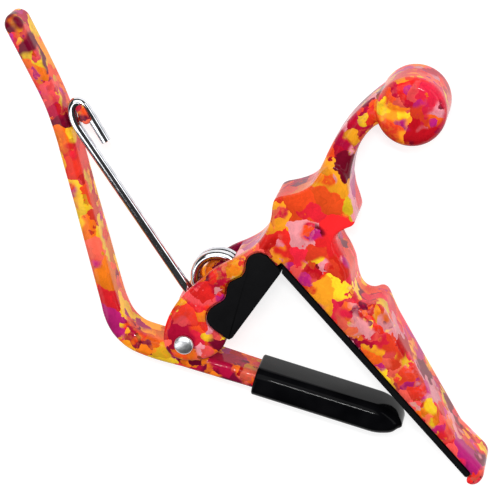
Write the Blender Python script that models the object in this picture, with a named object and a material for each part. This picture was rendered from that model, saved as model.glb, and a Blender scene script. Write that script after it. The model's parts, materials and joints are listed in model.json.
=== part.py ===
"""Spring guitar capo lying on its side.

Cast body (fret bar, finger scroll, two-cheek fork), cast lever pinned in the fork,
torsion spring between them, and three covers: pad, cushion and boot.  Metres, +Z up.
The profile lies in the XY plane, the thickness runs along Z and Z = 0 is the table.
All layout points below are in millimetres measured from the lever pin.
"""

import math

import bmesh
import bpy
from mathutils import Matrix, Vector

MM = 0.001

# Where the layout sits in the part frame.
PIN_X = -13.53 * MM
PIN_Y = -20.26 * MM

# Thicknesses measured from the middle plane.
BODY_HALF = 7.9
SLOT_HALF = 5.6
SHOULDER_HALF = 6.5
FLARE_HALF = 8.2
TAPER_START = 18.5
TAPER_END = 29.0
LEVER_HALF = 5.3
SCROLL_HALF = 7.9
MIDDLE_Z = BODY_HALF * MM

CLEARANCE = 0.3

# Fret bar: seat for the pad starts at the inner corner and slopes down to the tip.
BAR_START = (21.45, 16.4)
BAR_ANGLE = math.radians(-49.2)
PAD_LENGTH = 59.45
PAD_END_GAP = 0.15
PAD_SEAT = 1.6
PAD_HALF = 7.5
PAD_ROUNDING = 0.35

# Fork: straight inner side that carries the cushion.
FORK_ANGLE = math.radians(54.3)
FORK_FACE = 6.26
CUSHION_FLANGE = 0.8
CUSHION_WEB_START = 8.0
RECESS_DEPTH = 1.1

# Lever pin.
RIVET_SHANK = 1.5
RIVET_HEAD = 2.1
RIVET_DOME = 1.0
PIN_HOLE = 1.8
HEAD_POCKET = 2.4
HEAD_POCKET_DEPTH = 1.0
FAR_HEAD_HEIGHT = 0.7
HUB_RADIUS = 3.9

# Torsion spring.
WIRE = 1.1
COIL_X = 6.9
COIL_Y = 13.3
COIL_RADIUS = 5.2
COIL_PITCH = 2.3
COIL_TOP = 3.35
COIL_START = math.radians(257.5)
COIL_SWEEP = math.radians(786.8)
COIL_STEP = math.radians(13.0)
WIRE_SIDES = 12
SHORT_LEG = 9.0
LEG_Z = 3.9
POCKET_RADIUS = 6.9
POCKET_WALL = 4.74
BOSS_RADIUS = 3.65
BOSS_TOP = -0.8

# Finger scroll.
SCROLL_X = 48.9
SCROLL_Y = 51.75
SCROLL_RADIUS = 7.4
SCROLL_ROUNDING = 2.5

# Lever arm and the vinyl boot over it.
ARM_SLOPE = -0.298
ARM_OFFSET = -4.7
ARM_END = 43.2
BOOT_START = 14.4
BOOT_END = 45.5
BOOT_NOSE = 5.6
BOOT_DROP = 0.13
BOOT_NOSE_DROP = 0.9
BOOT_THICK = 3.22
BOOT_WIDE = 6.2
BOOT_ROUNDING = 2.5
BOOT_BORE_THICK = 2.25
BOOT_BORE_WIDE = 5.25

# Lug the spring hook runs on.
LUG_X = -20.65
LUG_Y = 48.6
LUG_NECK = 0.4
LUG_RIB_TOP = 2.45
LUG_RIB_BOTTOM = -1.6
BUTTON_BOTTOM = 5.3
BUTTON_TOP = 6.2


def clear_scene():
    for item in list(bpy.data.objects):
        bpy.data.objects.remove(item, do_unlink=True)


def place(x, y, z):
    """Layout millimetres to part metres."""
    return Vector((PIN_X + x * MM, PIN_Y + y * MM, MIDDLE_Z + z * MM))


def make_material(name, colour, metallic, roughness):
    material = bpy.data.materials.new(name)
    material.use_nodes = True
    shader = material.node_tree.nodes["Principled BSDF"]
    shader.inputs["Base Color"].default_value = (*colour, 1.0)
    shader.inputs["Metallic"].default_value = metallic
    shader.inputs["Roughness"].default_value = roughness
    material.diffuse_color = (*colour, 1.0)
    return material


def make_object(name, mesh_data):
    """Turn a closed bmesh into a scene object."""
    bmesh.ops.remove_doubles(mesh_data, verts=mesh_data.verts, dist=0.000004)
    bmesh.ops.recalc_face_normals(mesh_data, faces=mesh_data.faces)
    mesh = bpy.data.meshes.new(name)
    mesh_data.to_mesh(mesh)
    mesh_data.free()
    item = bpy.data.objects.new(name, mesh)
    bpy.context.scene.collection.objects.link(item)
    return item


def combine(target, tool, operation):
    """Boolean the tool into the target and drop the tool."""
    modifier = target.modifiers.new("combine", "BOOLEAN")
    modifier.operation = operation
    modifier.solver = "EXACT"
    modifier.object = tool
    bpy.context.view_layer.update()
    graph = bpy.context.evaluated_depsgraph_get()
    mesh = bpy.data.meshes.new_from_object(target.evaluated_get(graph))
    target.modifiers.clear()
    target.data = mesh
    bpy.data.objects.remove(tool, do_unlink=True)


def finish(item, material, origin=None, smooth_angle=32.0):
    """Give the piece its colour, soft shading and origin."""
    mesh = item.data
    mesh.materials.clear()
    mesh.materials.append(material)
    for polygon in mesh.polygons:
        polygon.material_index = 0
    mesh.shade_smooth()
    mesh.set_sharp_from_angle(angle=math.radians(smooth_angle))
    if origin is not None:
        mesh.transform(Matrix.Translation(-origin))
        item.location = origin


def arc(x, y, radius, start, end, count):
    """Points on an arc; angles in degrees."""
    points = []
    for index in range(count + 1):
        angle = math.radians(start + (end - start) * index / count)
        points.append((x + radius * math.cos(angle), y + radius * math.sin(angle)))
    return points


def curve_through(points, steps):
    """Catmull-Rom curve through every given point, any number of columns."""
    result = []
    last = len(points) - 1
    for index in range(last):
        before = points[max(index - 1, 0)]
        start = points[index]
        end = points[index + 1]
        after = points[min(index + 2, last)]
        for step in range(steps):
            t = step / steps
            row = []
            for a, b, c, d in zip(before, start, end, after):
                bend = (c - a) * t + (2 * a - 5 * b + 4 * c - d) * t * t
                bend += (3 * b - a - 3 * c + d) * t * t * t
                row.append(b + bend / 2)
            result.append(tuple(row))
    result.append(tuple(points[last]))
    return result


def ring_faces(mesh_data, rings):
    """Skin a list of equal rings and close both ends."""
    for lower, upper in zip(rings, rings[1:]):
        for index in range(len(lower)):
            following = (index + 1) % len(lower)
            corners = (lower[index], lower[following], upper[following], upper[index])
            mesh_data.faces.new(corners)
    mesh_data.faces.new(list(reversed(rings[0])))
    mesh_data.faces.new(rings[-1])


def plate(name, outline, bottom, top, steps=3):
    """Slab over an anticlockwise outline of (x, y, edge rounding)."""
    count = len(outline)
    inward = []
    for index in range(count):
        ahead = outline[(index + 1) % count]
        behind = outline[index - 1]
        run = Vector((ahead[0] - behind[0], ahead[1] - behind[1]))
        run.normalize()
        inward.append((-run.y, run.x))
    levels = []
    for step in range(steps + 1):
        levels.append((math.radians(90.0 * step / steps), bottom, 1.0))
    for step in range(steps, -1, -1):
        levels.append((math.radians(90.0 * step / steps), top, -1.0))
    mesh_data = bmesh.new()
    rings = []
    for angle, face, sign in levels:
        ring = []
        for (x, y, rounding), (dx, dy) in zip(outline, inward):
            inset = rounding * (1.0 - math.sin(angle))
            rise = rounding * (1.0 - math.cos(angle)) * sign
            ring.append(mesh_data.verts.new(place(x + dx * inset, y + dy * inset, face + rise)))
        rings.append(ring)
    ring_faces(mesh_data, rings)
    return make_object(name, mesh_data)


def slab(name, outline, bottom, top):
    """Sharp-edged slab over an outline of (x, y)."""
    mesh_data = bmesh.new()
    rings = []
    for level in (bottom, top):
        rings.append([mesh_data.verts.new(place(point[0], point[1], level)) for point in outline])
    ring_faces(mesh_data, rings)
    return make_object(name, mesh_data)


def turned(name, x, y, profile, count):
    """Round piece about a Z axis from a profile of (radius, z)."""
    mesh_data = bmesh.new()
    rings = []
    for radius, level in profile:
        ring = []
        for px, py in arc(x, y, radius, 0.0, 360.0 - 360.0 / count, count - 1):
            ring.append(mesh_data.verts.new(place(px, py, level)))
        rings.append(ring)
    ring_faces(mesh_data, rings)
    return make_object(name, mesh_data)


def rounded_section(half_across, half_high, rounding, corner_steps):
    """Rounded rectangle as (across, high) pairs."""
    section = []
    corners = ((1, 1, 0), (-1, 1, 90), (-1, -1, 180), (1, -1, 270))
    for side, level, start in corners:
        x = side * (half_across - rounding)
        y = level * (half_high - rounding)
        section.extend(arc(x, y, rounding, start, start + 90, corner_steps))
    return section


def round_section(radius, count):
    return arc(0.0, 0.0, radius, 0.0, 360.0 - 360.0 / count, count - 1)


def sweep(name, path, sections):
    """Skin sections along a path of (x, y, z) that stays nearly level."""
    mesh_data = bmesh.new()
    rings = []
    last = len(path) - 1
    for index, (x, y, z) in enumerate(path):
        ahead = path[min(index + 1, last)]
        behind = path[max(index - 1, 0)]
        run = Vector((ahead[0] - behind[0], ahead[1] - behind[1]))
        run.normalize()
        ring = []
        for across, high in sections[index]:
            ring.append(mesh_data.verts.new(place(x - run.y * across, y + run.x * across, z + high)))
        rings.append(ring)
    ring_faces(mesh_data, rings)
    return make_object(name, mesh_data)


def bar_point(along, away):
    """Point beside the fret bar: along the pad from the corner, away from its lower face."""
    x = BAR_START[0] + along * math.cos(BAR_ANGLE) - away * math.sin(BAR_ANGLE)
    y = BAR_START[1] + along * math.sin(BAR_ANGLE) + away * math.cos(BAR_ANGLE)
    return (x, y)


def fork_point(along, away):
    """Point beside the fork's straight side: along it, away from the pin."""
    x = away * math.sin(FORK_ANGLE) + along * math.cos(FORK_ANGLE)
    y = -away * math.cos(FORK_ANGLE) + along * math.sin(FORK_ANGLE)
    return (x, y)


def body_outline():
    """Fret bar, middle and fork as one outline with an edge rounding at each point."""
    seat_end = bar_point(PAD_LENGTH + PAD_END_GAP, PAD_SEAT)
    lip = bar_point(PAD_LENGTH + PAD_END_GAP, 0.0)
    tip = curve_through([
        (*lip, 0.3), (60.6, -29.7, 0.6), (61.7, -30.2, 1.0), (63.0, -29.8, 1.4),
        (63.9, -28.6, 1.6), (64.1, -27.3, 1.8), (63.5, -26.0, 1.7), (61.8, -24.2, 1.7),
        (58.2, -20.4, 1.9)], 2)
    shoulder = curve_through([
        (44.9, 4.5, 2.4), (43.7, 7.2, 2.2), (42.7, 9.2, 1.5), (41.4, 10.0, 1.5),
        (39.6, 9.7, 2.2), (37.9, 10.3, 2.4), (36.7, 12.0, 2.4), (36.1, 14.4, 2.4),
        (35.7, 17.0, 2.3), (34.6, 19.8, 2.5), (33.5, 21.8, 2.7), (32.9, 23.7, 2.6),
        (33.5, 25.3, 2.1), (35.0, 26.4, 1.5), (36.5, 27.1, 1.2), (37.1, 28.4, 1.2),
        (36.7, 30.4, 1.8), (36.0, 32.8, 2.2), (35.6, 35.2, 2.2), (35.2, 37.6, 2.2),
        (33.8, 39.6, 2.2), (31.8, 39.9, 2.2), (30.2, 38.9, 2.2), (29.0, 37.2, 2.2),
        (27.8, 35.6, 2.4), (26.1, 34.4, 1.8), (23.6, 33.5, 1.4), (21.3, 33.0, 1.0),
        (20.1, 32.4, 0.8), (19.6, 31.2, 1.1), (19.3, 29.0, 2.0), (18.7, 26.8, 2.3),
        (17.6, 24.5, 2.3), (15.9, 22.3, 2.1), (13.9, 20.7, 1.7), (11.6, 19.4, 1.2)], 2)
    cheek = curve_through([
        (11.6, 19.4, 1.2), (7.2, 17.1, 0.6), (1.2, 12.1, 0.6), (-1.6, 8.9, 0.8),
        (-3.5, 5.6, 0.8), (-4.5, 2.2, 0.8), (-4.4, -0.6, 0.8), (-3.2, -2.6, 0.8),
        (-0.8, -3.7, 0.8), (2.2, -3.8, 0.8), (5.0, -3.1, 0.8), (7.2, -1.8, 0.8),
        (8.7, 0.1, 0.6), (9.5, 2.5, 0.3)], 3)
    corner = (*bar_point(-2.02, PAD_SEAT), 0.3)
    return [corner, (*seat_end, 0.3)] + tip + shoulder[:-1] + cheek


def thickness_block():
    """Side view of the body: full thickness up to the fork, thinner at the neck."""
    profile = [(-60.0, FLARE_HALF), (TAPER_START, FLARE_HALF), (TAPER_END, SHOULDER_HALF),
               (45.0, SHOULDER_HALF)]
    profile += [(y, -z) for y, z in reversed(profile)]
    mesh_data = bmesh.new()
    rings = []
    for x in (-40.0, 90.0):
        rings.append([mesh_data.verts.new(place(x, y, z)) for y, z in profile])
    ring_faces(mesh_data, rings)
    return make_object("block", mesh_data)


def neck():
    """Curved neck between the middle of the body and the scroll."""
    rails = curve_through([
        (27.0, 32.0, 35.0, 30.0, 6.4), (28.4, 36.4, 35.6, 35.0, 6.4),
        (29.9, 39.4, 36.0, 38.3, 6.0), (31.4, 42.7, 36.8, 41.5, 5.7),
        (33.4, 46.2, 38.1, 44.4, 5.5), (36.0, 49.7, 39.8, 46.8, 5.5),
        (39.2, 52.9, 42.0, 48.5, 5.6), (42.8, 55.8, 44.6, 48.2, 5.8),
        (46.5, 57.6, 47.4, 47.0, 5.9)], 2)
    mesh_data = bmesh.new()
    rings = []
    for left_x, left_y, right_x, right_y, half_high in rails:
        half_across = math.hypot(right_x - left_x, right_y - left_y) / 2
        rounding = min(2.2, half_across * 0.8)
        ring = []
        for across, high in rounded_section(half_across, half_high, rounding, 4):
            share = (across / half_across + 1) / 2
            x = left_x + (right_x - left_x) * share
            y = left_y + (right_y - left_y) * share
            ring.append(mesh_data.verts.new(place(x, y, high)))
        rings.append(ring)
    ring_faces(mesh_data, rings)
    return make_object("neck", mesh_data)


def scroll():
    """Round finger end with softened edges."""
    inner = SCROLL_RADIUS - SCROLL_ROUNDING
    level = SCROLL_HALF - SCROLL_ROUNDING
    profile = arc(inner, level, SCROLL_ROUNDING, 90, 0, 5)
    profile += arc(inner, -level, SCROLL_ROUNDING, 0, -90, 5)
    return turned("scroll", SCROLL_X, SCROLL_Y, profile, 40)


def cushion_outline():
    """Three-lobed cover beside the fork's straight side."""
    lobes = curve_through([
        (18.3, 20.3), (16.9, 20.8), (15.5, 20.6), (14.3, 19.7), (13.8, 18.4), (13.6, 16.9),
        (12.8, 15.6), (11.5, 14.9), (10.2, 14.1), (9.6, 12.9), (9.3, 11.2), (8.6, 10.0),
        (7.0, 9.0), (5.7, 7.9), (5.1, 6.6), (5.2, 5.1), (6.3, 3.7), (7.8, 2.6),
        (9.1, 1.6), (9.8, 1.3)], 2)
    return [(10.5, 1.7), (21.1, 16.4), (21.0, 17.4)] + lobes


def grown(outline, distance):
    """Outline moved outward by a distance."""
    result = []
    count = len(outline)
    for index, (x, y) in enumerate(outline):
        ahead = outline[(index + 1) % count]
        behind = outline[index - 1]
        length = math.hypot(ahead[0] - behind[0], ahead[1] - behind[1])
        result.append((x + (ahead[1] - behind[1]) / length * distance,
                       y - (ahead[0] - behind[0]) / length * distance))
    return result


def slot_outline():
    """Opening between the cheeks: coil pocket, then a straight wall past the pin."""
    wall = math.degrees(FORK_ANGLE) - 90.0
    outline = arc(COIL_X, COIL_Y, POCKET_RADIUS, 54.0, wall, 9)
    outline.append(fork_point(-0.6, POCKET_WALL))
    outline.append(fork_point(-1.6, 12.0))
    outline += [(4.0, -12.0), (-14.0, -12.0), (-14.0, 12.0), (-4.0, 26.0), (8.0, 26.0)]
    return list(reversed(outline))


def short_leg_path():
    """Straight end of the wire that sits in the body."""
    angle = COIL_START + COIL_SWEEP
    x = COIL_X + COIL_RADIUS * math.cos(angle)
    y = COIL_Y + COIL_RADIUS * math.sin(angle)
    return x, y, -math.sin(angle), math.cos(angle)


def coil_end_level():
    return COIL_TOP - COIL_PITCH * COIL_SWEEP / (2 * math.pi)


def body_casting(material):
    """Body: bar, middle, fork, neck and scroll in one piece."""
    body = plate("body_casting", body_outline(), -BODY_HALF, BODY_HALF)
    combine(body, thickness_block(), "INTERSECT")
    combine(body, neck(), "UNION")
    combine(body, scroll(), "UNION")
    combine(body, slab("slot", slot_outline(), -SLOT_HALF, SLOT_HALF), "DIFFERENCE")
    x, y, dx, dy = short_leg_path()
    reach = SHORT_LEG + CLEARANCE
    level = coil_end_level()
    anchor_path = [(x - dx, y - dy, level), (x + dx * reach, y + dy * reach, level)]
    hole = round_section(WIRE + CLEARANCE, 14)
    combine(body, sweep("anchor", anchor_path, [hole, hole]), "DIFFERENCE")
    boss = [(BOSS_RADIUS - 0.5, BOSS_TOP), (BOSS_RADIUS, BOSS_TOP - 0.5), (BOSS_RADIUS, -6.4)]
    combine(body, turned("boss", COIL_X, COIL_Y, boss, 32), "UNION")
    bore = [(PIN_HOLE, 9.0), (PIN_HOLE, -9.0)]
    combine(body, turned("bore", 0.0, 0.0, bore, 28), "DIFFERENCE")
    pocket = [(HEAD_POCKET, HEAD_POCKET_DEPTH - BODY_HALF), (HEAD_POCKET, -9.0)]
    combine(body, turned("pocket", 0.0, 0.0, pocket, 28), "DIFFERENCE")
    recess = grown(cushion_outline(), CLEARANCE)
    floor = BODY_HALF - RECESS_DEPTH
    combine(body, slab("near_recess", recess, floor, 9.0), "DIFFERENCE")
    combine(body, slab("far_recess", recess, -9.0, -floor), "DIFFERENCE")
    finish(body, material)
    return body


def fret_pad(material):
    """Rubber strip along the bar."""
    low = PAD_ROUNDING
    high = PAD_SEAT - CLEARANCE - PAD_ROUNDING
    corners = [(low, low, 180), (PAD_LENGTH - low, low, 270),
               (PAD_LENGTH - low, high, 0), (low, high, 90)]
    outline = []
    for along, away, start in corners:
        for point in arc(along, away, PAD_ROUNDING, start, start + 90, 3):
            outline.append((*bar_point(*point), 0.25))
    pad = plate("fret_pad", outline, -PAD_HALF, PAD_HALF, 2)
    finish(pad, material)
    return pad


def neck_cushion(material):
    """Rubber saddle: two lobed flanges joined across the fork's inner side."""
    outline = [(*point, 0.2) for point in cushion_outline()]
    cushion = plate("neck_cushion", outline, -BODY_HALF, BODY_HALF, 2)
    inside = BODY_HALF - CUSHION_FLANGE
    edge = FORK_FACE + CLEARANCE
    core = [fork_point(-20.0, 20.0), fork_point(CUSHION_WEB_START, 20.0),
            fork_point(CUSHION_WEB_START, edge), fork_point(40.0, edge),
            fork_point(40.0, -20.0), fork_point(-20.0, -20.0)]
    combine(cushion, slab("core", core, -inside, inside), "DIFFERENCE")
    finish(cushion, material)
    return cushion


def lever_stations():
    """Centre line of the handle, elbow and arm: x, y, half thickness, half width."""
    handle = curve_through([
        (-35.05, 68.4, 1.96, 4.4), (-31.1, 60.0, 1.94, 4.35), (-27.6, 52.0, 1.88, 4.2),
        (-25.4, 45.0, 1.9, 4.3), (-24.0, 39.0, 1.9, 4.4), (-22.4, 32.0, 1.85, 4.5),
        (-19.6, 19.6, 1.88, 4.7), (-17.2, 9.0, 1.9, 4.85), (-16.3, 5.4, 2.05, 4.95),
        (-15.1, 2.6, 2.15, 5.0), (-13.3, 0.4, 2.2, 5.05), (-10.9, -1.2, 2.25, 5.15),
        (-6.2, -2.8, 2.3, LEVER_HALF), (-1.0, -4.4, 2.0, LEVER_HALF)], 3)
    arm = []
    for x, wide in ((5.0, LEVER_HALF), (9.0, 5.15), (13.0, 4.9), (30.0, 4.9), (40.0, 4.9)):
        arm.append((x, ARM_OFFSET + ARM_SLOPE * x, 1.92, wide))
    return handle + arm


def capped_stations(stations, first_reach, last_reach, steps=4):
    """Add shrinking stations so both ends come out rounded."""
    def cap(end, neighbour, reach):
        dx = end[0] - neighbour[0]
        dy = end[1] - neighbour[1]
        length = math.hypot(dx, dy)
        extra = []
        for step in range(1, steps + 1):
            angle = math.radians(88.0 * step / steps)
            shift = reach * math.sin(angle) / length
            scale = math.cos(angle)
            extra.append((end[0] + dx * shift, end[1] + dy * shift,
                          end[2] * scale, end[3] - end[2] * (1 - scale)))
        return extra
    head = cap(stations[0], stations[1], first_reach)
    tail = cap(stations[-1], stations[-2], last_reach)
    return list(reversed(head)) + stations + tail


def station_sweep(name, stations, rounding, corner_steps):
    path = []
    sections = []
    for x, y, thick, wide in stations:
        path.append((x, y, 0.0))
        edge = min(rounding, thick * 0.85)
        sections.append(rounded_section(thick, wide, edge, corner_steps))
    return sweep(name, path, sections)


def lug_rib():
    """Low rib from the handle out to the lug, under the spring wire."""
    outline = [(-26.2, 45.6), (-23.6, 45.7), (-21.2, 47.6)]
    outline += arc(LUG_X, LUG_Y, 0.9, -70.0, 90.0, 6)
    outline += [(-22.6, 50.0), (-25.4, 50.6), (-27.2, 50.0)]
    return slab("rib", outline, LUG_RIB_BOTTOM, LUG_RIB_TOP)


def lug_button():
    """Oval button over the wire that keeps the hook on."""
    middle_x, middle_y = LUG_X + 0.25, LUG_Y + 1.3
    run_x, run_y = 0.46, -0.888
    reach, half = 1.3, 0.95
    outline = []
    for side, start in ((1, -152.6), (-1, 27.4)):
        x = middle_x + run_x * reach * side
        y = middle_y + run_y * reach * side
        for point in arc(x, y, half, start, start + 180.0, 8):
            outline.append((*point, 0.35))
    return plate("button", outline, BUTTON_BOTTOM, BUTTON_TOP, 2)


def lever_casting(material, pin):
    """Handle, elbow, hub, arm and hook lug."""
    stations = capped_stations(lever_stations(), 2.4, ARM_END - 40.0)
    lever = station_sweep("lever_casting", stations, 1.25, 3)
    hub_edge = LEVER_HALF - 0.4
    hub = [(HUB_RADIUS - 0.4, LEVER_HALF), (HUB_RADIUS, hub_edge),
           (HUB_RADIUS, -hub_edge), (HUB_RADIUS - 0.4, -LEVER_HALF)]
    combine(lever, turned("hub", 0.0, 0.0, hub, 36), "UNION")
    bore = [(PIN_HOLE, 9.0), (PIN_HOLE, -9.0)]
    combine(lever, turned("bore", 0.0, 0.0, bore, 28), "DIFFERENCE")
    combine(lever, lug_rib(), "UNION")
    neck_profile = [(LUG_NECK, BUTTON_BOTTOM + 0.4), (LUG_NECK, LUG_RIB_TOP - 0.6)]
    combine(lever, turned("lug_neck", LUG_X, LUG_Y, neck_profile, 14), "UNION")
    combine(lever, lug_button(), "UNION")
    finish(lever, material, pin)
    return lever


def arm_boot(material, pin):
    """Vinyl sleeve with a closed rounded end over the arm."""
    def station(x, drop, thick, wide):
        return (x, ARM_OFFSET - drop + ARM_SLOPE * x, thick, wide)
    nose = BOOT_END - BOOT_NOSE
    outer = [station(BOOT_START, BOOT_DROP, BOOT_THICK - 0.25, BOOT_WIDE - 0.25),
             station(BOOT_START + 0.2, BOOT_DROP, BOOT_THICK, BOOT_WIDE),
             station(28.0, BOOT_DROP, BOOT_THICK, BOOT_WIDE),
             station(nose, BOOT_DROP, BOOT_THICK, BOOT_WIDE)]
    for degrees in (20, 38, 54, 68, 79, 88):
        angle = math.radians(degrees)
        shrink = 1 - math.cos(angle)
        outer.append(station(nose + BOOT_NOSE * math.sin(angle),
                             BOOT_DROP + BOOT_NOSE_DROP * shrink, BOOT_THICK * (1 - 0.8 * shrink),
                             BOOT_WIDE * (1 - 0.45 * shrink)))
    boot = station_sweep("arm_boot", outer, BOOT_ROUNDING, 4)
    bore = [station(BOOT_START - 1.0, 0.0, BOOT_BORE_THICK, BOOT_BORE_WIDE),
            station(ARM_END - 2.6, 0.0, BOOT_BORE_THICK, BOOT_BORE_WIDE),
            station(ARM_END - 0.8, 0.0, BOOT_BORE_THICK * 0.85, BOOT_BORE_WIDE * 0.85),
            station(ARM_END + 0.5, 0.0, BOOT_BORE_THICK * 0.5, BOOT_BORE_WIDE * 0.65)]
    combine(boot, station_sweep("bore", bore, 1.3, 3), "DIFFERENCE")
    finish(boot, material, pin)
    return boot


def spring_coil(material):
    """Wound part of the spring and its short anchored end."""
    path = []
    count = round(COIL_SWEEP / COIL_STEP)
    for index in range(count + 1):
        turn = COIL_SWEEP * index / count
        angle = COIL_START + turn
        x = COIL_X + COIL_RADIUS * math.cos(angle)
        y = COIL_Y + COIL_RADIUS * math.sin(angle)
        path.append((x, y, COIL_TOP - COIL_PITCH * turn / (2 * math.pi)))
    x, y, dx, dy = short_leg_path()
    level = coil_end_level()
    for reach in (SHORT_LEG * 0.2, SHORT_LEG):
        path.append((x + dx * reach, y + dy * reach, level))
    coil = sweep("spring_coil", path, [round_section(WIRE, WIRE_SIDES)] * len(path))
    finish(coil, material)
    return coil


def leg_path():
    """Long end of the spring: lead off the coil, straight run, hook round the lug."""
    lead = curve_through([
        (5.35, 8.35), (3.95, 8.85), (2.8, 9.3), (1.85, 9.85), (1.15, 10.55), (0.4, 11.5),
        (-0.7, 13.05)], 2)
    hook = curve_through([
        (-20.9, 44.8), (-21.9, 46.4), (-22.7, 48.1), (-23.05, 49.7), (-23.0, 51.1),
        (-22.3, 52.1), (-21.2, 52.0), (-20.2, 51.0), (-19.3, 49.5), (-18.35, 47.8),
        (-17.4, 46.1), (-16.0, 43.6)], 3)
    return lead + [(-9.8, 27.4)] + hook


def spring_leg(material, coil_centre):
    """Long arm of the spring with its hook."""
    path = [(x, y, LEG_Z) for x, y in leg_path()]
    sections = [round_section(WIRE, WIRE_SIDES)] * len(path)
    leg = sweep("spring_leg", path, sections)
    finish(leg, material, coil_centre)
    return leg


def pivot_rivet(material, pin):
    """Steel rivet: domed near head, plain shank, flush far head."""
    seat = BODY_HALF + 0.2
    profile = []
    for degrees in (86, 68, 50, 32, 15, 0):
        angle = math.radians(degrees)
        level = seat + 0.25 + (RIVET_DOME - 0.25) * math.sin(angle)
        profile.append((RIVET_HEAD * math.cos(angle), level))
    far_face = -BODY_HALF
    profile += [(RIVET_HEAD, seat), (RIVET_SHANK, seat),
                (RIVET_SHANK, far_face + FAR_HEAD_HEIGHT),
                (RIVET_HEAD, far_face + FAR_HEAD_HEIGHT), (RIVET_HEAD, far_face)]
    rivet = turned("pivot_rivet", 0.0, 0.0, profile, 32)
    finish(rivet, material, pin)
    return rivet


def build():
    clear_scene()
    pin = place(0.0, 0.0, 0.0)
    coil_centre = place(COIL_X, COIL_Y, LEG_Z)
    body_casting(make_material("body_lacquer", (0.62, 0.03, 0.05), 0.15, 0.12))
    fret_pad(make_material("pad_rubber", (0.012, 0.012, 0.013), 0.0, 0.65))
    neck_cushion(make_material("cushion_rubber", (0.014, 0.014, 0.015), 0.0, 0.6))
    lever_casting(make_material("lever_lacquer", (0.85, 0.22, 0.03), 0.15, 0.12), pin)
    arm_boot(make_material("boot_vinyl", (0.02, 0.02, 0.022), 0.0, 0.3), pin)
    spring_coil(make_material("coil_steel", (0.72, 0.73, 0.75), 1.0, 0.16))
    spring_leg(make_material("leg_steel", (0.74, 0.75, 0.77), 1.0, 0.14), coil_centre)
    pivot_rivet(make_material("rivet_steel", (0.82, 0.82, 0.83), 1.0, 0.12), pin)


build()
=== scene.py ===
"""Looks of the spring capo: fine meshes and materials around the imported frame."""

import json
import math

import bmesh
import bpy
from mathutils import Matrix, Vector


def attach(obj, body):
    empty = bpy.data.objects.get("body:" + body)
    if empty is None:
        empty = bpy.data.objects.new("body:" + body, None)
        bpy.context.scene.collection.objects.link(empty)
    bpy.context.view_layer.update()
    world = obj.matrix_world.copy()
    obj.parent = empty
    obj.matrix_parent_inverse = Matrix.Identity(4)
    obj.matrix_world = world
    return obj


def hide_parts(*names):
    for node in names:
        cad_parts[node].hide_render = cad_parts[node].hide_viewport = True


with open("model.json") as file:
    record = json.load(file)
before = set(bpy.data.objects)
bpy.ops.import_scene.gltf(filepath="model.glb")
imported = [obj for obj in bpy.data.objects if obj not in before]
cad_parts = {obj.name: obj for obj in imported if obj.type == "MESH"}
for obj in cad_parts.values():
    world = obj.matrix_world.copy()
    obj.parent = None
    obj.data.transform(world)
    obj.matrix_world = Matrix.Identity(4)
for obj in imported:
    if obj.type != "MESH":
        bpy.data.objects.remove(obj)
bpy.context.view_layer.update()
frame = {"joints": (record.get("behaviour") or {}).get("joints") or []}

MM = 0.001
PER_METRE = 1000.0

joint = next(j for j in frame["joints"] if j["name"] == "lever_hinge")
PIN = Vector(joint["pos_m"])

# The main view: tilt off the flat side, and the way it leans.
VIEW_TILT = math.radians(20.0)
LEAN = Vector((0.47, 0.8827, 0.0)).normalized()
ACROSS = Vector((LEAN.y, -LEAN.x, 0.0))
UP = Vector((0.0, 0.0, 1.0))
TIPPED = LEAN * math.cos(VIEW_TILT) - UP * math.sin(VIEW_TILT)
TOWARD = LEAN * math.sin(VIEW_TILT) + UP * math.cos(VIEW_TILT)
VIEW_X = TIPPED * LEAN.x + ACROSS * ACROSS.x
VIEW_Y = TIPPED * LEAN.y + ACROSS * ACROSS.y
VIEW_DISTANCE = 0.55
VIEW_CENTRE = PIN + Vector((12.449, 20.170, 0.0)) * MM

VIEW_WIDTH = 104.86 * MM
SENSOR_WIDTH = 36.0


# ---------------------------------------------------------------- mesh helpers

def place(x, y, z):
    """Millimetres from the lever pin to metres in the row frame."""
    return PIN + Vector((x, y, z)) * MM


def make_object(name, mesh_data, weld=0.000002):
    bmesh.ops.remove_doubles(mesh_data, verts=mesh_data.verts, dist=weld)
    bmesh.ops.recalc_face_normals(mesh_data, faces=mesh_data.faces)
    mesh = bpy.data.meshes.new(name)
    mesh_data.to_mesh(mesh)
    mesh_data.free()
    item = bpy.data.objects.new(name, mesh)
    bpy.context.scene.collection.objects.link(item)
    return item


def apply_modifiers(item):
    bpy.context.view_layer.update()
    graph = bpy.context.evaluated_depsgraph_get()
    mesh = bpy.data.meshes.new_from_object(item.evaluated_get(graph))
    item.modifiers.clear()
    item.data = mesh


def combine(target, tool, operation):
    modifier = target.modifiers.new("combine", "BOOLEAN")
    modifier.operation = operation
    modifier.solver = "EXACT"
    modifier.object = tool
    apply_modifiers(target)
    bpy.data.objects.remove(tool, do_unlink=True)


def soften(item, voxel, rounds):
    """Even mesh with small casting fillets in every corner."""
    remesh = item.modifiers.new("even", "REMESH")
    remesh.mode = "VOXEL"
    remesh.voxel_size = voxel
    smooth = item.modifiers.new("soft", "SMOOTH")
    smooth.factor = 0.5
    smooth.iterations = rounds
    apply_modifiers(item)


def finish_piece(item, material, body, nodes, angle=40.0):
    """Shade, paint and tie the piece to the frame."""
    mesh = item.data
    mesh.materials.clear()
    mesh.materials.append(material)
    mesh.polygons.foreach_set("material_index", [0] * len(mesh.polygons))
    mesh.shade_smooth()
    mesh.set_sharp_from_angle(angle=math.radians(angle))
    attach(item, body)
    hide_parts(*nodes)
    return item


def arc(x, y, radius, start, end, count):
    points = []
    for index in range(count + 1):
        angle = math.radians(start + (end - start) * index / count)
        points.append((x + radius * math.cos(angle), y + radius * math.sin(angle)))
    return points


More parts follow.
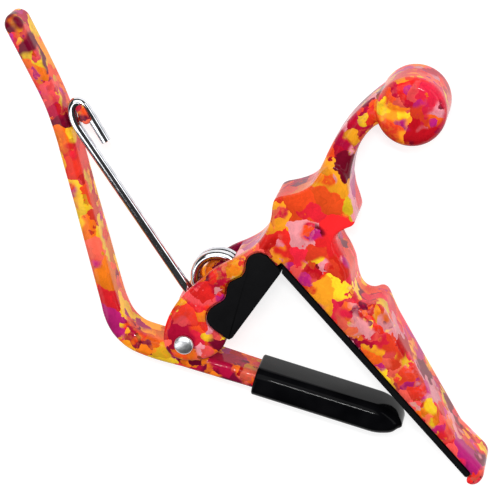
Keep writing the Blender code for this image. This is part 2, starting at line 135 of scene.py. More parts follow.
def curve_through(points, steps):
    """Catmull-Rom curve through every given point, any number of columns."""
    result = []
    last = len(points) - 1
    for index in range(last):
        before = points[max(index - 1, 0)]
        start = points[index]
        end = points[index + 1]
        after = points[min(index + 2, last)]
        for step in range(steps):
            t = step / steps
            row = []
            for a, b, c, d in zip(before, start, end, after):
                bend = (c - a) * t + (2 * a - 5 * b + 4 * c - d) * t * t
                bend += (3 * b - a - 3 * c + d) * t * t * t
                row.append(b + bend / 2)
            result.append(tuple(row))
    result.append(tuple(points[last]))
    return result


def ring_faces(mesh_data, rings):
    for lower, upper in zip(rings, rings[1:]):
        for index in range(len(lower)):
            following = (index + 1) % len(lower)
            mesh_data.faces.new((lower[index], lower[following], upper[following], upper[index]))
    mesh_data.faces.new(list(reversed(rings[0])))
    mesh_data.faces.new(rings[-1])


def plate(name, outline, bottom, top, steps=6):
    """Slab over an anticlockwise outline of (x, y, edge rounding)."""
    count = len(outline)
    inward = []
    for index in range(count):
        ahead = outline[(index + 1) % count]
        behind = outline[index - 1]
        run = Vector((ahead[0] - behind[0], ahead[1] - behind[1]))
        run.normalize()
        inward.append((-run.y, run.x))
    levels = []
    for step in range(steps + 1):
        levels.append((math.radians(90.0 * step / steps), bottom, 1.0))
    for step in range(steps, -1, -1):
        levels.append((math.radians(90.0 * step / steps), top, -1.0))
    mesh_data = bmesh.new()
    rings = []
    for angle, face, sign in levels:
        ring = []
        for (x, y, rounding), (dx, dy) in zip(outline, inward):
            inset = rounding * (1.0 - math.sin(angle))
            rise = rounding * (1.0 - math.cos(angle)) * sign
            ring.append(mesh_data.verts.new(place(x + dx * inset, y + dy * inset, face + rise)))
        rings.append(ring)
    ring_faces(mesh_data, rings)
    return make_object(name, mesh_data)


def slab(name, outline, bottom, top):
    mesh_data = bmesh.new()
    rings = []
    for level in (bottom, top):
        rings.append([mesh_data.verts.new(place(point[0], point[1], level)) for point in outline])
    ring_faces(mesh_data, rings)
    return make_object(name, mesh_data)


def turned(name, x, y, profile, count):
    mesh_data = bmesh.new()
    rings = []
    for radius, level in profile:
        ring = []
        for px, py in arc(x, y, radius, 0.0, 360.0 - 360.0 / count, count - 1):
            ring.append(mesh_data.verts.new(place(px, py, level)))
        rings.append(ring)
    ring_faces(mesh_data, rings)
    return make_object(name, mesh_data)


def rounded_section(half_across, half_high, rounding, corner_steps):
    section = []
    corners = ((1, 1, 0), (-1, 1, 90), (-1, -1, 180), (1, -1, 270))
    for side, level, start in corners:
        x = side * (half_across - rounding)
        y = level * (half_high - rounding)
        section.extend(arc(x, y, rounding, start, start + 90, corner_steps))
    return section


def sweep(name, path, sections):
    """Skin sections along a path of (x, y, z) that stays nearly level."""
    mesh_data = bmesh.new()
    rings = []
    last = len(path) - 1
    for index, (x, y, z) in enumerate(path):
        ahead = path[min(index + 1, last)]
        behind = path[max(index - 1, 0)]
        run = Vector((ahead[0] - behind[0], ahead[1] - behind[1]))
        run.normalize()
        ring = []
        for across, high in sections[index]:
            ring.append(mesh_data.verts.new(place(x - run.y * across, y + run.x * across, z + high)))
        rings.append(ring)
    ring_faces(mesh_data, rings)
    return make_object(name, mesh_data)


def station_sweep(name, stations, rounding, corner_steps):
    path = []
    sections = []
    for x, y, thick, wide in stations:
        path.append((x, y, 0.0))
        edge = min(rounding, thick * 0.92)
        sections.append(rounded_section(thick, wide, edge, corner_steps))
    return sweep(name, path, sections)


# ---------------------------------------------------------------- shared layout

BODY_HALF = 7.9
SLOT_HALF = 5.6
SHOULDER_HALF = 6.5
FLARE_HALF = 8.2
TAPER_START = 18.5
TAPER_END = 29.0
LEVER_HALF = 5.3
GAP = 0.3
BAR_START = (21.45, 16.4)
BAR_ANGLE = math.radians(-49.2)
PAD_LENGTH = 59.45
PAD_END_GAP = 0.15
PAD_SEAT = 1.6
FORK_ANGLE = math.radians(54.3)
FORK_FACE = 6.26
COIL_X = 6.9
COIL_Y = 13.3
COIL_RADIUS = 5.2
COIL_PITCH = 2.3
COIL_TOP = 3.35
COIL_START = math.radians(257.5)
COIL_SWEEP = math.radians(786.8)
WIRE = 1.1
WIRE_SIDES = 28
LEG_Z = 3.9
LUG_X = -20.65
LUG_Y = 48.6


def bar_point(along, away):
    x = BAR_START[0] + along * math.cos(BAR_ANGLE) - away * math.sin(BAR_ANGLE)
    y = BAR_START[1] + along * math.sin(BAR_ANGLE) + away * math.cos(BAR_ANGLE)
    return (x, y)


def fork_point(along, away):
    x = away * math.sin(FORK_ANGLE) + along * math.cos(FORK_ANGLE)
    y = -away * math.cos(FORK_ANGLE) + along * math.sin(FORK_ANGLE)
    return (x, y)


# ---------------------------------------------------------------- body

def body_outline():
    seat_end = bar_point(PAD_LENGTH + PAD_END_GAP, PAD_SEAT)
    lip = bar_point(PAD_LENGTH + PAD_END_GAP, 0.0)
    tip = curve_through([
        (*lip, 0.3), (60.6, -29.7, 0.6), (61.7, -30.2, 1.0), (63.0, -29.8, 1.4),
        (63.9, -28.6, 1.6), (64.1, -27.3, 1.8), (63.5, -26.0, 1.7), (61.8, -24.2, 1.7),
        (58.2, -20.4, 1.9)], 6)
    shoulder = curve_through([
        (44.9, 4.5, 2.4), (43.7, 7.2, 2.2), (42.7, 9.2, 1.5), (41.4, 10.0, 1.5),
        (39.6, 9.7, 2.2), (37.9, 10.3, 2.4), (36.7, 12.0, 2.4), (36.1, 14.4, 2.4),
        (35.7, 17.0, 2.3), (34.6, 19.8, 2.5), (33.5, 21.8, 2.7), (32.9, 23.7, 2.6),
        (33.5, 25.3, 2.1), (35.0, 26.4, 1.5), (36.5, 27.1, 1.2), (37.1, 28.4, 1.2),
        (36.7, 30.4, 1.8), (36.0, 32.8, 2.2), (35.6, 35.2, 2.2), (35.2, 37.6, 2.2),
        (33.8, 39.6, 2.2), (31.8, 39.9, 2.2), (30.2, 38.9, 2.2), (29.0, 37.2, 2.2),
        (27.8, 35.6, 2.4), (26.1, 34.4, 1.8), (23.6, 33.5, 1.4), (21.3, 33.0, 1.0),
        (20.1, 32.4, 0.8), (19.6, 31.2, 1.1), (19.3, 29.0, 2.0), (18.7, 26.8, 2.3),
        (17.6, 24.5, 2.3), (15.9, 22.3, 2.1), (13.9, 20.7, 1.7), (11.6, 19.4, 1.2)], 5)
    cheek = curve_through([
        (11.6, 19.4, 1.2), (7.2, 17.1, 0.6), (1.2, 12.1, 0.6), (-1.6, 8.9, 0.8),
        (-3.5, 5.6, 0.8), (-4.5, 2.2, 0.8), (-4.4, -0.6, 0.8), (-3.2, -2.6, 0.8),
        (-0.8, -3.7, 0.8), (2.2, -3.8, 0.8), (5.0, -3.1, 0.8), (7.2, -1.8, 0.8),
        (8.7, 0.1, 0.6), (9.5, 2.5, 0.3)], 6)
    corner = (*bar_point(-2.02, PAD_SEAT), 0.3)
    return [corner, (*seat_end, 0.3)] + tip + shoulder[:-1] + cheek


def thickness_block():
    """Side view of the body: full thickness up to the fork, thinner at the neck."""
    profile = [(-60.0, FLARE_HALF), (TAPER_START, FLARE_HALF), (TAPER_END, SHOULDER_HALF),
               (45.0, SHOULDER_HALF)]
    profile += [(y, -z) for y, z in reversed(profile)]
    mesh_data = bmesh.new()
    rings = []
    for x in (-40.0, 90.0):
        rings.append([mesh_data.verts.new(place(x, y, z)) for y, z in profile])
    ring_faces(mesh_data, rings)
    return make_object("block", mesh_data)


def neck():
    rails = curve_through([
        (27.0, 32.0, 35.0, 30.0, 6.4), (28.4, 36.4, 35.6, 35.0, 6.4),
        (29.9, 39.4, 36.0, 38.3, 6.0), (31.4, 42.7, 36.8, 41.5, 5.7),
        (33.4, 46.2, 38.1, 44.4, 5.5), (36.0, 49.7, 39.8, 46.8, 5.5),
        (39.2, 52.9, 42.0, 48.5, 5.6), (42.8, 55.8, 44.6, 48.2, 5.8),
        (46.5, 57.6, 47.4, 47.0, 5.9)], 5)
    mesh_data = bmesh.new()
    rings = []
    for left_x, left_y, right_x, right_y, half_high in rails:
        half_across = math.hypot(right_x - left_x, right_y - left_y) / 2
        rounding = min(2.2, half_across * 0.8)
        ring = []
        for across, high in rounded_section(half_across, half_high, rounding, 7):
            share = (across / half_across + 1) / 2
            x = left_x + (right_x - left_x) * share
            y = left_y + (right_y - left_y) * share
            ring.append(mesh_data.verts.new(place(x, y, high)))
        rings.append(ring)
    ring_faces(mesh_data, rings)
    return make_object("neck", mesh_data)


def scroll():
    profile = arc(4.9, 5.4, 2.5, 90, 0, 9) + arc(4.9, -5.4, 2.5, 0, -90, 9)
    return turned("scroll", 48.9, 51.75, profile, 96)


def cushion_outline():
    lobes = curve_through([
        (18.3, 20.3), (16.9, 20.8), (15.5, 20.6), (14.3, 19.7), (13.8, 18.4), (13.6, 16.9),
        (12.8, 15.6), (11.5, 14.9), (10.2, 14.1), (9.6, 12.9), (9.3, 11.2), (8.6, 10.0),
        (7.0, 9.0), (5.7, 7.9), (5.1, 6.6), (5.2, 5.1), (6.3, 3.7), (7.8, 2.6),
        (9.1, 1.6), (9.8, 1.3)], 5)
    return [(10.5, 1.7), (21.1, 16.4), (21.0, 17.4)] + lobes


def grown(outline, distance):
    result = []
    count = len(outline)
    for index, (x, y) in enumerate(outline):
        ahead = outline[(index + 1) % count]
        behind = outline[index - 1]
        length = math.hypot(ahead[0] - behind[0], ahead[1] - behind[1])
        result.append((x + (ahead[1] - behind[1]) / length * distance,
                       y - (ahead[0] - behind[0]) / length * distance))
    return result


def slot_outline():
    wall = math.degrees(FORK_ANGLE) - 90.0
    outline = arc(COIL_X, COIL_Y, 6.9, 54.0, wall, 24)
    outline.append(fork_point(-0.6, 4.74))
    outline.append(fork_point(-1.6, 12.0))
    outline += [(4.0, -12.0), (-14.0, -12.0), (-14.0, 12.0), (-4.0, 26.0), (8.0, 26.0)]
    return list(reversed(outline))


def short_leg_ray():
    angle = COIL_START + COIL_SWEEP
    x = COIL_X + COIL_RADIUS * math.cos(angle)
    y = COIL_Y + COIL_RADIUS * math.sin(angle)
    level = COIL_TOP - COIL_PITCH * COIL_SWEEP / (2 * math.pi)
    return x, y, -math.sin(angle), math.cos(angle), level


def build_body(material):
    body = plate("capo_body", body_outline(), -BODY_HALF, BODY_HALF)
    combine(body, thickness_block(), "INTERSECT")
    combine(body, neck(), "UNION")
    combine(body, scroll(), "UNION")
    combine(body, slab("slot", slot_outline(), -SLOT_HALF, SLOT_HALF), "DIFFERENCE")
    x, y, dx, dy, level = short_leg_ray()
    anchor = [(x - dx, y - dy, level), (x + dx * 9.3, y + dy * 9.3, level)]
    hole = arc(0.0, 0.0, WIRE + GAP, 0.0, 345.0, 23)
    combine(body, sweep("anchor", anchor, [hole, hole]), "DIFFERENCE")
    boss = [(3.15, -0.8), (3.65, -1.3), (3.65, -6.4)]
    combine(body, turned("boss", COIL_X, COIL_Y, boss, 48), "UNION")
    combine(body, turned("bore", 0.0, 0.0, [(1.8, 9.0), (1.8, -9.0)], 40), "DIFFERENCE")
    combine(body, turned("pocket", 0.0, 0.0, [(2.4, -6.9), (2.4, -9.0)], 40), "DIFFERENCE")
    recess = grown(cushion_outline(), GAP)
    combine(body, slab("near_recess", recess, 6.8, 9.0), "DIFFERENCE")
    combine(body, slab("far_recess", recess, -9.0, -6.8), "DIFFERENCE")
    soften(body, 0.26 * MM, 7)
    return finish_piece(body, material, "frame", ["body_casting"], 60.0)


# ---------------------------------------------------------------- covers

def build_pad(material):
    high = PAD_SEAT - GAP
    corners = [(PAD_LENGTH - 0.4, 0.4, 270), (PAD_LENGTH - 0.4, high - 0.4, 0)]
    outline = []
    for along, away, start in corners:
        for point in arc(along, away, 0.4, start, start + 90, 6):
            outline.append((*bar_point(*point), 0.28))
    for point in ((-0.85, high), (-1.0, high - 0.15), (-0.30, 0.2), (-0.1, 0.0)):
        outline.append((*bar_point(*point), 0.12))
    pad = plate("fret_pad_strip", outline, -7.5, 7.5, 5)
    return finish_piece(pad, material, "frame", ["fret_pad"])


def build_cushion(material):
    outline = [(*point, 0.35) for point in cushion_outline()]
    cushion = plate("fork_cushion", outline, -BODY_HALF, BODY_HALF, 5)
    edge = FORK_FACE + GAP
    core = [fork_point(-20.0, 20.0), fork_point(8.0, 20.0), fork_point(8.0, edge),
            fork_point(40.0, edge), fork_point(40.0, -20.0), fork_point(-20.0, -20.0)]
    combine(cushion, slab("core", core, -7.1, 7.1), "DIFFERENCE")
    return finish_piece(cushion, material, "frame", ["neck_cushion"])


def build_boot(material):
    def station(x, drop, thick, wide):
        return (x, -4.7 - drop - 0.298 * x, thick, wide)
    nose = 5.6
    start = 14.4
    end = 45.5
    outer = []
    for degrees in (0, 20, 40, 60, 80, 90):
        angle = math.radians(degrees)
        inset = 0.45 * (1 - math.sin(angle))
        outer.append(station(start + 0.45 * (1 - math.cos(angle)), 0.13, 3.22 - inset, 6.2 - inset))
    for x in (20.0, 28.0, 34.0, end - nose):
        outer.append(station(x, 0.13, 3.22, 6.2))
    for degrees in (8, 16, 24, 32, 40, 48, 56, 64, 71, 78, 84, 88.5):
        angle = math.radians(degrees)
        shrink = 1 - math.cos(angle)
        outer.append(station(end - nose + nose * math.sin(angle), 0.13 + 0.9 * shrink,
                             3.22 * (1 - 0.8 * shrink), 6.2 * (1 - 0.45 * shrink)))
    boot = station_sweep("clamp_boot", outer, 2.5, 12)
    bore = [station(start - 1.0, 0.0, 2.25, 5.25), station(40.6, 0.0, 2.25, 5.25),
            station(42.4, 0.0, 1.91, 4.46), station(43.7, 0.0, 1.12, 3.41)]
    combine(boot, station_sweep("bore", bore, 1.3, 6), "DIFFERENCE")
    return finish_piece(boot, material, "lever", ["arm_boot"])


# ---------------------------------------------------------------- lever

def lever_stations():
    handle = curve_through([
        (-35.05, 68.4, 1.96, 4.4), (-31.1, 60.0, 1.94, 4.35), (-27.6, 52.0, 1.88, 4.2),
        (-25.4, 45.0, 1.9, 4.3), (-24.0, 39.0, 1.9, 4.4), (-22.4, 32.0, 1.85, 4.5),
        (-19.6, 19.6, 1.88, 4.7), (-17.2, 9.0, 1.9, 4.85), (-16.3, 5.4, 2.05, 4.95),
        (-15.1, 2.6, 2.15, 5.0), (-13.3, 0.4, 2.2, 5.05), (-10.9, -1.2, 2.25, 5.15),
        (-6.2, -2.8, 2.3, LEVER_HALF), (-1.0, -4.4, 2.0, LEVER_HALF)], 7)
    arm = []
    for x, wide in ((5.0, LEVER_HALF), (9.0, 5.15), (13.0, 4.9), (30.0, 4.9), (40.0, 4.9)):
        arm.append((x, -4.7 - 0.298 * x, 1.92, wide))
    return handle + arm


def capped_stations(stations, first_reach, last_reach, steps=8):
    def cap(end, neighbour, reach):
        dx = end[0] - neighbour[0]
        dy = end[1] - neighbour[1]
        length = math.hypot(dx, dy)
        extra = []
        for step in range(1, steps + 1):
            angle = math.radians(88.0 * step / steps)
            shift = reach * math.sin(angle) / length
            scale = math.cos(angle)
            extra.append((end[0] + dx * shift, end[1] + dy * shift,
                          end[2] * scale, end[3] - end[2] * (1 - scale)))
        return extra
    head = cap(stations[0], stations[1], first_reach)
    tail = cap(stations[-1], stations[-2], last_reach)
    return list(reversed(head)) + stations + tail


def lug_rib():
    outline = [(-26.2, 45.6), (-23.6, 45.7), (-21.2, 47.6)]
    outline += arc(LUG_X, LUG_Y, 0.9, -70.0, 90.0, 10)
    outline += [(-22.6, 50.0), (-25.4, 50.6), (-27.2, 50.0)]
    return slab("rib", outline, -1.6, 2.45)


def lug_button():
    outline = []
    for side, start in ((1, -152.6), (-1, 27.4)):
        x = LUG_X + 0.25 + 0.46 * 1.3 * side
        y = LUG_Y + 1.3 - 0.888 * 1.3 * side
        for point in arc(x, y, 0.95, start, start + 180.0, 14):
            outline.append((*point, 0.38))
    return plate("button", outline, 5.3, 6.2, 4)


def build_lever(material):
    lever = station_sweep("squeeze_lever", capped_stations(lever_stations(), 2.4, 3.2), 1.25, 6)
    hub = [(3.5, LEVER_HALF), (3.9, 4.9), (3.9, -4.9), (3.5, -LEVER_HALF)]
    combine(lever, turned("hub", 0.0, 0.0, hub, 60), "UNION")
    combine(lever, turned("bore", 0.0, 0.0, [(1.8, 9.0), (1.8, -9.0)], 40), "DIFFERENCE")
    combine(lever, lug_rib(), "UNION")
    lug_neck = [(0.4, 5.7), (0.4, 1.85)]
    combine(lever, turned("lug_neck", LUG_X, LUG_Y, lug_neck, 20), "UNION")
    combine(lever, lug_button(), "UNION")
    soften(lever, 0.17 * MM, 6)
    return finish_piece(lever, material, "lever", ["lever_casting"], 60.0)


# ---------------------------------------------------------------- spring and rivet

def wire_rings(path):
    """Round wire along a level path, with a small chamfer at each cut end."""
    trim = 0.12
    path = list(path)
    first = Vector(path[0]).lerp(Vector(path[1]), trim / (Vector(path[1]) - Vector(path[0])).length)
    last = Vector(path[-1]).lerp(Vector(path[-2]), trim / (Vector(path[-2]) - Vector(path[-1])).length)
    path = [path[0], tuple(first)] + path[1:-1] + [tuple(last), path[-1]]
    sections = []
    for index in range(len(path)):
        radius = WIRE - 0.14 if index in (0, len(path) - 1) else WIRE
        sections.append(arc(0.0, 0.0, radius, 0.0, 360.0 - 360.0 / WIRE_SIDES, WIRE_SIDES - 1))
    return path, sections


def build_coil(material):
    path = []
    count = 150
    for index in range(count + 1):
        turn = COIL_SWEEP * index / count
        angle = COIL_START + turn
        path.append((COIL_X + COIL_RADIUS * math.cos(angle), COIL_Y + COIL_RADIUS * math.sin(angle),
                     COIL_TOP - COIL_PITCH * turn / (2 * math.pi)))
    x, y, dx, dy, level = short_leg_ray()
    for reach in (1.8, 9.0):
        path.append((x + dx * reach, y + dy * reach, level))
    coil = sweep("spring_turns", *wire_rings(path))
    return finish_piece(coil, material, "frame", ["spring_coil"])


def build_leg(material):
    lead = curve_through([
        (5.35, 8.35), (3.95, 8.85), (2.8, 9.3), (1.85, 9.85), (1.15, 10.55), (0.4, 11.5),
        (-0.7, 13.05)], 6)
    hook = curve_through([
        (-20.9, 44.8), (-21.9, 46.4), (-22.7, 48.1), (-23.05, 49.7), (-23.0, 51.1),
        (-22.3, 52.1), (-21.2, 52.0), (-20.2, 51.0), (-19.3, 49.5), (-18.35, 47.8),
        (-17.4, 46.1), (-16.0, 43.6)], 8)
    path = [(x, y, LEG_Z) for x, y in lead + [(-9.8, 27.4)] + hook]
    leg = sweep("spring_hook", *wire_rings(path))
    return finish_piece(leg, material, "spring_arm", ["spring_leg"])


def build_rivet(material):
    seat = BODY_HALF + 0.2
    profile = []
    for degrees in (87, 78, 68, 58, 48, 38, 28, 18, 8, 0):
        angle = math.radians(degrees)
        profile.append((2.1 * math.cos(angle), seat + 0.25 + 0.75 * math.sin(angle)))
    profile += [(2.1, seat + 0.08), (2.02, seat), (1.5, seat), (1.5, -7.2), (2.1, -7.2),
                (2.1, -7.82), (2.02, -BODY_HALF)]
    rivet = turned("lever_rivet", 0.0, 0.0, profile, 72)
    return finish_piece(rivet, material, "frame", ["pivot_rivet"], 50.0)


# ---------------------------------------------------------------- materials

# ---------------------------------------------------------------- colours

RED = (232, 40, 38)
CORAL = (240, 92, 78)
PINK = (240, 150, 160)
CRIMSON = (188, 18, 44)
WINE = (120, 12, 44)
MAGENTA = (190, 34, 116)
VERMILION = (238, 70, 32)
ORANGE = (244, 116, 28)
AMBER = (248, 160, 36)
GOLD = (244, 196, 40)

BODY_PETALS = [RED, MAGENTA, AMBER, CORAL, WINE, VERMILION, PINK, CRIMSON, GOLD, RED, ORANGE, CORAL]
LEVER_PETALS = [VERMILION, GOLD, RED, MAGENTA, ORANGE, CRIMSON, AMBER, CORAL, WINE, ORANGE]

PAD_BLACK = (6, 6, 8)
PAD_DUST = (16, 16, 18)
CUSHION_DUST = (17, 17, 19)
VINYL_BLACK = (6, 6, 8)
VINYL_WORN = (14, 14, 16)
SPRING_STEEL = (204, 207, 212)
RIVET_STEEL = (236, 236, 238)
BRIGHT_STEEL = (236, 238, 242)

# Petals per millimetre, and how far their edges wander in millimetres.
LARGE_PETALS = 0.15
SMALL_PETALS = 0.31
WAVER = 6.0
RIPPLE = 1.3


def linear(colour):
    """Screen colour, 0 to 255, to scene colour."""
    result = []
    for value in colour:
        share = value / 255.0
        result.append(share / 12.92 if share <= 0.04045 else ((share + 0.055) / 1.055) ** 2.4)
    return (*result, 1.0)


class Net:
    """Short calls for building a node tree."""

    def __init__(self, tree):
        self.tree = tree

    def add(self, kind, **values):
        node = self.tree.nodes.new(kind)
        for name, value in values.items():
            setattr(node, name, value)
        return node

    def join(self, source, target):
        self.tree.links.new(source, target)

    def feed(self, socket, value):
        if isinstance(value, bpy.types.NodeSocket):
            self.join(value, socket)
        else:
            socket.default_value = value

    def math(self, operation, first, second=0.0, third=0.0, clamp=False):
        node = self.add("ShaderNodeMath", operation=operation, use_clamp=clamp)
        for socket, value in zip(node.inputs, (first, second, third)):
            self.feed(socket, value)
        return node.outputs[0]

    def vector(self, operation, first, second=None, scale=None):
        node = self.add("ShaderNodeVectorMath", operation=operation)
        self.feed(node.inputs[0], first)
        if second is not None:
            self.feed(node.inputs[1], second)
        if scale is not None:
            self.feed(node.inputs["Scale"], scale)
        return node.outputs["Value"] if operation in ("LENGTH", "DOT_PRODUCT") else node.outputs[0]

    def noise(self, where, scale, detail=2.0, roughness=0.5, distortion=0.0):
        node = self.add("ShaderNodeTexNoise")
        self.feed(node.inputs["Vector"], where)
        node.inputs["Scale"].default_value = scale
        node.inputs["Detail"].default_value = detail
        node.inputs["Roughness"].default_value = roughness
        node.inputs["Distortion"].default_value = distortion
        return node

    def spread(self, value, low, high, to_low, to_high, smooth=False):
        node = self.add("ShaderNodeMapRange", clamp=True)
        if smooth:
            node.interpolation_type = "SMOOTHSTEP"
        for socket, item in zip(node.inputs, (value, low, high, to_low, to_high)):
            self.feed(socket, item)
        return node.outputs[0]

    def mix(self, factor, first, second, blend="MIX"):
        node = self.add("ShaderNodeMix", data_type="RGBA", blend_type=blend)
        self.feed(node.inputs["Factor"], factor)
        self.feed(node.inputs[6], first)
        self.feed(node.inputs[7], second)
        return node.outputs[2]

    def bump(self, height, strength, distance):
        node = self.add("ShaderNodeBump")
        self.feed(node.inputs["Height"], height)
        node.inputs["Strength"].default_value = strength
        node.inputs["Distance"].default_value = distance
        return node.outputs[0]


def new_material(name):
    material = bpy.data.materials.new(name)
    material.use_nodes = True
    net = Net(material.node_tree)
    shader = material.node_tree.nodes["Principled BSDF"]
    where = net.add("ShaderNodeTexCoord").outputs["Object"]
    return material, net, shader, where


def petals(net, where, scale, palette):
    """Overlapping petals, each with its own colour, lighter at its upper edge and darker at its root."""
    cells = net.add("ShaderNodeTexVoronoi", feature="F1")
    net.join(where, cells.inputs["Vector"])
    cells.inputs["Scale"].default_value = scale
    cells.inputs["Randomness"].default_value = 1.0
    inside = net.vector("SUBTRACT", where, cells.outputs["Position"])
    rise = net.vector("DOT_PRODUCT", inside, (0.45, 0.75, 0.45))
    slope = net.spread(rise, -0.6 / scale, 0.6 / scale, 0.76, 1.26)
    split = net.add("ShaderNodeSeparateColor")
    net.join(cells.outputs["Color"], split.inputs[0])
    level = net.spread(split.outputs[0], 0.0, 1.0, 0.90, 1.10)
    ramp = net.add("ShaderNodeValToRGB")
    net.join(split.outputs[2], ramp.inputs[0])
    fill_ramp(ramp.color_ramp, palette)
    shift = net.add("ShaderNodeHueSaturation")
    net.join(net.spread(split.outputs[1], 0.0, 1.0, 0.490, 0.507), shift.inputs["Hue"])
    net.join(net.math("MULTIPLY", slope, level), shift.inputs["Value"])
    net.join(ramp.outputs[0], shift.inputs["Color"])
    return shift.outputs[0]


def fill_ramp(ramp, palette):
    """One even, hard-edged step for each colour."""
    ramp.interpolation = "CONSTANT"
    ramp.elements[0].color = linear(palette[0])
    ramp.elements.remove(ramp.elements[1])
    for index, tint in enumerate(palette[1:], 1):
        ramp.elements.new(index / len(palette)).color = linear(tint)


def centred(net, noise, reach):
    """Noise colour as a shift of up to half of reach, in millimetres, each way."""
    return net.vector("SCALE", net.vector("SUBTRACT", noise.outputs["Color"], (0.5, 0.5, 0.5)), scale=reach)


def petal_print(net, where, palette):
    """Random painted petals all round the part: large ones, with drifts of small ones over them."""
    fine = net.vector("SCALE", where, scale=PER_METRE)
    slow = net.noise(fine, 0.30, 1.0)
    quick = net.noise(fine, 1.3, 2.0)
    waver = centred(net, slow, WAVER)
    ripple = centred(net, quick, RIPPLE)
    moved = net.vector("ADD", net.vector("ADD", fine, waver), ripple)
    large = petals(net, moved, LARGE_PETALS, palette)
    small = petals(net, moved, SMALL_PETALS, palette)
    drift = net.noise(fine, 0.13, 2.0)
    cover = net.spread(drift.outputs["Fac"], 0.47, 0.55, 0.0, 1.0, smooth=True)
    colour = net.mix(cover, large, small)
    wash = net.mix(net.spread(quick.outputs["Fac"], 0.45, 0.75, 0.0, 0.35), colour, large)
    grain = net.noise(net.vector("MULTIPLY", moved, (1.6, 0.56, 0.9)), 1.0, 3.0, 0.6, 0.8)
    streak = net.spread(grain.outputs["Fac"], 0.3, 0.7, 0.88, 1.12)
    return net.vector("SCALE", wash, scale=streak)


def lacquer(name, palette):
    material, net, shader, where = new_material(name)
    colour = petal_print(net, where, palette)
    net.join(colour, shader.inputs["Base Color"])
    shader.inputs["Roughness"].default_value = 0.38
    shader.inputs["Specular IOR Level"].default_value = 0.0
    shader.inputs["Coat Weight"].default_value = 0.62
    shader.inputs["Coat Roughness"].default_value = 0.035
    shader.inputs["Coat IOR"].default_value = 1.3
    fine = net.vector("SCALE", where, scale=PER_METRE)
    peel = net.noise(fine, 0.55, 2.0, 0.45)
    relief = net.bump(peel.outputs["Fac"], 0.14, 0.00006)
    net.join(relief, shader.inputs["Coat Normal"])
    net.join(net.bump(peel.outputs["Fac"], 0.2, 0.00006), shader.inputs["Normal"])
    return material


def rubber(name, tint, worn):
    material, net, shader, where = new_material(name)
    fine = net.vector("SCALE", where, scale=PER_METRE)
    speck = net.noise(fine, 5.0, 4.0, 0.65)
    cloud = net.noise(fine, 0.35, 2.0)
    dust = net.spread(cloud.outputs["Fac"], 0.35, 0.75, 0.0, 0.35)
    colour = net.mix(dust, linear(tint), linear(worn))
    net.join(colour, shader.inputs["Base Color"])
    net.join(net.spread(speck.outputs["Fac"], 0.3, 0.7, 0.62, 0.82), shader.inputs["Roughness"])
    shader.inputs["Specular IOR Level"].default_value = 0.11
    net.join(net.bump(speck.outputs["Fac"], 0.5, 0.00005), shader.inputs["Normal"])
    return material


def vinyl():
    material, net, shader, where = new_material("boot_vinyl_look")
    fine = net.vector("SCALE", where, scale=PER_METRE)
    wave = net.noise(fine, 0.22, 1.0)
    speck = net.noise(fine, 3.0, 3.0, 0.6)
    worn = net.spread(wave.outputs["Fac"], 0.3, 0.7, 0.0, 1.0)
    colour = net.mix(worn, linear(VINYL_BLACK), linear(VINYL_WORN))
    net.join(colour, shader.inputs["Base Color"])
    net.join(net.spread(speck.outputs["Fac"], 0.3, 0.75, 0.04, 0.09), shader.inputs["Roughness"])
    shader.inputs["Specular IOR Level"].default_value = 0.05
    height = net.math("ADD", wave.outputs["Fac"], net.math("MULTIPLY", speck.outputs["Fac"], 0.08))
    net.join(net.bump(height, 0.25, 0.0001), shader.inputs["Normal"])
    return material


def plated(name, tint, low, high, scale):
    material, net, shader, where = new_material(name)
    fine = net.vector("SCALE", where, scale=PER_METRE)
    drawn = net.noise(net.vector("MULTIPLY", fine, scale), 1.0, 3.0, 0.6)
    cloud = net.noise(fine, 0.6, 2.0)
    bright = net.spread(cloud.outputs["Fac"], 0.35, 0.7, 0.0, 1.0)
    colour = net.mix(bright, linear(tint), linear(BRIGHT_STEEL))
    net.join(colour, shader.inputs["Base Color"])
    shader.inputs["Metallic"].default_value = 1.0
    net.join(net.spread(drawn.outputs["Fac"], 0.3, 0.7, low, high), shader.inputs["Roughness"])
    net.join(net.bump(drawn.outputs["Fac"], 0.08, 0.00003), shader.inputs["Normal"])
    return material


# ---------------------------------------------------------------- scene

body_look = lacquer("body_lacquer_look", BODY_PETALS)
lever_look = lacquer("lever_lacquer_look", LEVER_PETALS)

build_body(body_look)
build_lever(lever_look)
build_pad(rubber("pad_rubber_look", PAD_BLACK, PAD_DUST))
build_cushion(rubber("cushion_rubber_look", PAD_BLACK, CUSHION_DUST))
build_boot(vinyl())
build_coil(plated("coil_steel_look", SPRING_STEEL, 0.06, 0.14, (1.0, 1.0, 3.0)))
build_leg(plated("leg_steel_look", SPRING_STEEL, 0.05, 0.12, (1.0, 1.0, 3.0)))
build_rivet(plated("rivet_steel_look", RIVET_STEEL, 0.30, 0.42, (2.0, 2.0, 2.0)))


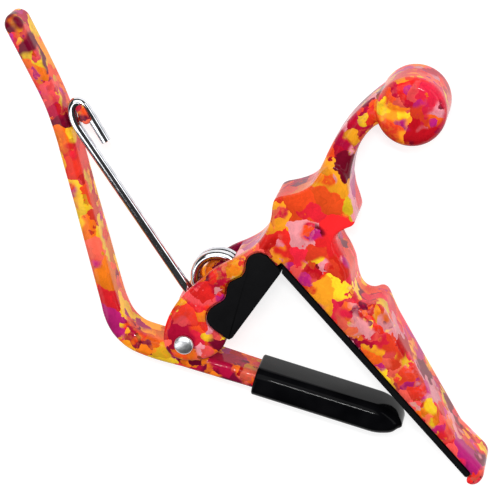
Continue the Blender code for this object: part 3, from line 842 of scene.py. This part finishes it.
def floor():
    mesh_data = bmesh.new()
    half = 1.6
    corners = [(-half, -half), (half, -half), (half, half), (-half, half)]
    mesh_data.faces.new([mesh_data.verts.new((x, y, -0.0002)) for x, y in corners])
    item = make_object("studio_floor", mesh_data)
    material, net, shader, where = new_material("floor_paper")
    fibre = net.noise(where, 300.0, 3.0)
    shade = net.spread(fibre.outputs["Fac"], 0.3, 0.7, 0.36, 0.40)
    node = net.add("ShaderNodeCombineColor")
    for socket in node.inputs:
        net.join(shade, socket)
    net.join(node.outputs[0], shader.inputs["Base Color"])
    shader.inputs["Roughness"].default_value = 0.9
    shader.inputs["Specular IOR Level"].default_value = 0.0
    shader.inputs["Emission Color"].default_value = (1.0, 1.0, 1.0, 1.0)
    shader.inputs["Emission Strength"].default_value = 0.80
    item.data.materials.append(material)


def lamp(name, position, size_x, size_y, power, target=VIEW_CENTRE):
    data = bpy.data.lights.new(name, "AREA")
    data.shape = "RECTANGLE"
    data.size = size_x
    data.size_y = size_y
    data.energy = power
    item = bpy.data.objects.new(name, data)
    bpy.context.scene.collection.objects.link(item)
    item.location = position
    aim = Vector(target) - Vector(position)
    item.rotation_euler = aim.to_track_quat("-Z", "Y").to_euler()
    return item


def studio():
    world = bpy.data.worlds.new("studio_world")
    world.use_nodes = True
    background = world.node_tree.nodes["Background"]
    background.inputs["Color"].default_value = (1.0, 1.0, 1.0, 1.0)
    background.inputs["Strength"].default_value = 0.04
    bpy.context.scene.world = world
    lamp("key_softbox", VIEW_CENTRE + Vector((-0.12, 0.46, 0.70)), 1.0, 0.7, 3.9)
    lamp("left_strip", VIEW_CENTRE + Vector((-0.52, -0.24, 0.58)), 0.24, 0.9, 1.6)
    lamp("thin_strip", VIEW_CENTRE + Vector((0.118, 0.31, 0.725)), 0.17, 0.03, 2.4)
    lamp("right_strip", VIEW_CENTRE + Vector((0.62, 0.12, 0.30)), 0.9, 0.22, 1.3)
    bpy.context.scene.view_settings.view_transform = "Standard"


def camera():
    data = bpy.data.cameras.new("main_camera")
    data.sensor_width = SENSOR_WIDTH
    data.lens = SENSOR_WIDTH * VIEW_DISTANCE / VIEW_WIDTH
    data.clip_start = 0.01
    item = bpy.data.objects.new("main_camera", data)
    bpy.context.scene.collection.objects.link(item)
    turn = Matrix((VIEW_X, VIEW_Y, TOWARD)).transposed().to_4x4()
    item.matrix_world = Matrix.Translation(VIEW_CENTRE + TOWARD * VIEW_DISTANCE) @ turn
    bpy.context.scene.camera = item


floor()
studio()
camera()
